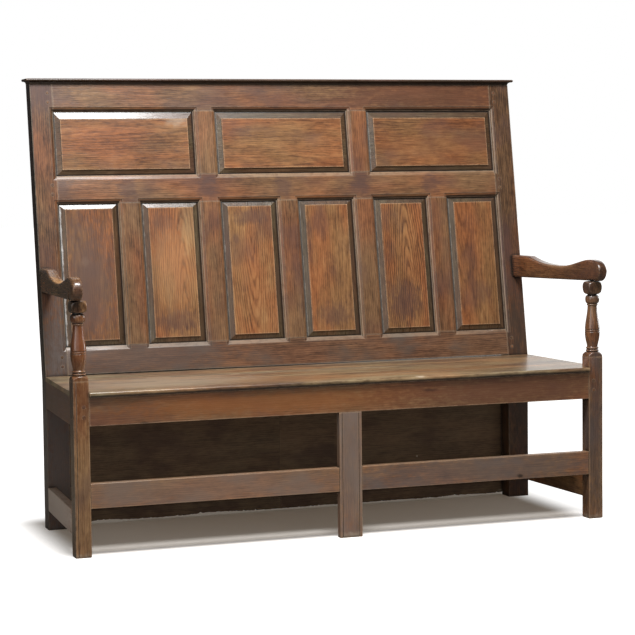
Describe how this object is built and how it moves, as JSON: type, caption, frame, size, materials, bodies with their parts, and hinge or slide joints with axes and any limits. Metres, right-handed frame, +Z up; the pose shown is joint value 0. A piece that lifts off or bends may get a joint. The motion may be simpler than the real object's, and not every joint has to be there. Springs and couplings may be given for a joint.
{
  "type": "settle bench",
  "caption": "Oak settle bench with a tall raked back of fielded panels, open underframe with stretchers, turned arm posts and scrolled arms.",
  "frame": {"origin": "on the floor, under the middle of the bench's bounding box", "axes": "+X across the bench to the right of somebody who faces it, +Y from its open front to its back, +Z up"},
  "size_m": [1.6088, 0.6774, 1.3228],
  "materials": {
    "frame_oak": "waxed, satin, mid brown with darker edges",
    "panel_oak": "waxed, satin, orange brown with figured grain",
    "seat_oak": "worn, greyed, satin",
    "back_oak": "dark, dry, unpolished",
    "crest_oak": "dark, waxed, satin",
    "peg_oak": "dark end grain, matt"
  },
  "bodies": {
    "root": {"front_leg_left": "frame_oak", "front_leg_right": "frame_oak", "front_leg_centre": "frame_oak", "front_seat_rail": "frame_oak", "front_stretcher_left": "frame_oak", "front_stretcher_right": "frame_oak", "side_seat_rail_left": "frame_oak", "side_seat_rail_right": "frame_oak", "side_stretcher_left": "frame_oak", "side_stretcher_right": "frame_oak", "back_stile_left": "frame_oak", "back_stile_right": "frame_oak", "arm_left": "frame_oak", "arm_right": "frame_oak", "rear_seat_rail": "frame_oak", "rear_stretcher": "frame_oak", "back_top_rail": "frame_oak", "back_middle_rail": "frame_oak", "back_bottom_rail": "frame_oak", "upper_muntin_1": "frame_oak", "upper_muntin_2": "frame_oak", "lower_muntin_1": "frame_oak", "lower_muntin_2": "frame_oak", "lower_muntin_3": "frame_oak", "lower_muntin_4": "frame_oak", "lower_muntin_5": "frame_oak", "upper_panel_1": "panel_oak", "upper_panel_2": "panel_oak", "upper_panel_3": "panel_oak", "lower_panel_1": "panel_oak", "lower_panel_2": "panel_oak", "lower_panel_3": "panel_oak", "lower_panel_4": "panel_oak", "lower_panel_5": "panel_oak", "lower_panel_6": "panel_oak", "crest_moulding": "crest_oak", "seat_board_front": "seat_oak", "seat_board_rear": "seat_oak", "seat_bearer_left": "back_oak", "seat_bearer_right": "back_oak", "lower_back_board_left": "back_oak", "lower_back_board_right": "back_oak", "peg_seat_rail_left_upper": "peg_oak", "peg_seat_rail_left_lower": "peg_oak", "peg_seat_rail_right_upper": "peg_oak", "peg_seat_rail_right_lower": "peg_oak", "peg_bottom_rail_left_upper": "peg_oak", "peg_bottom_rail_left_lower": "peg_oak", "peg_bottom_rail_right_upper": "peg_oak", "peg_bottom_rail_right_lower": "peg_oak", "peg_middle_rail_left_upper": "peg_oak", "peg_middle_rail_left_lower": "peg_oak", "peg_middle_rail_right_upper": "peg_oak", "peg_middle_rail_right_lower": "peg_oak", "peg_top_rail_left_upper": "peg_oak", "peg_top_rail_left_lower": "peg_oak", "peg_top_rail_right_upper": "peg_oak", "peg_top_rail_right_lower": "peg_oak"}
  },
  "joints": []
}
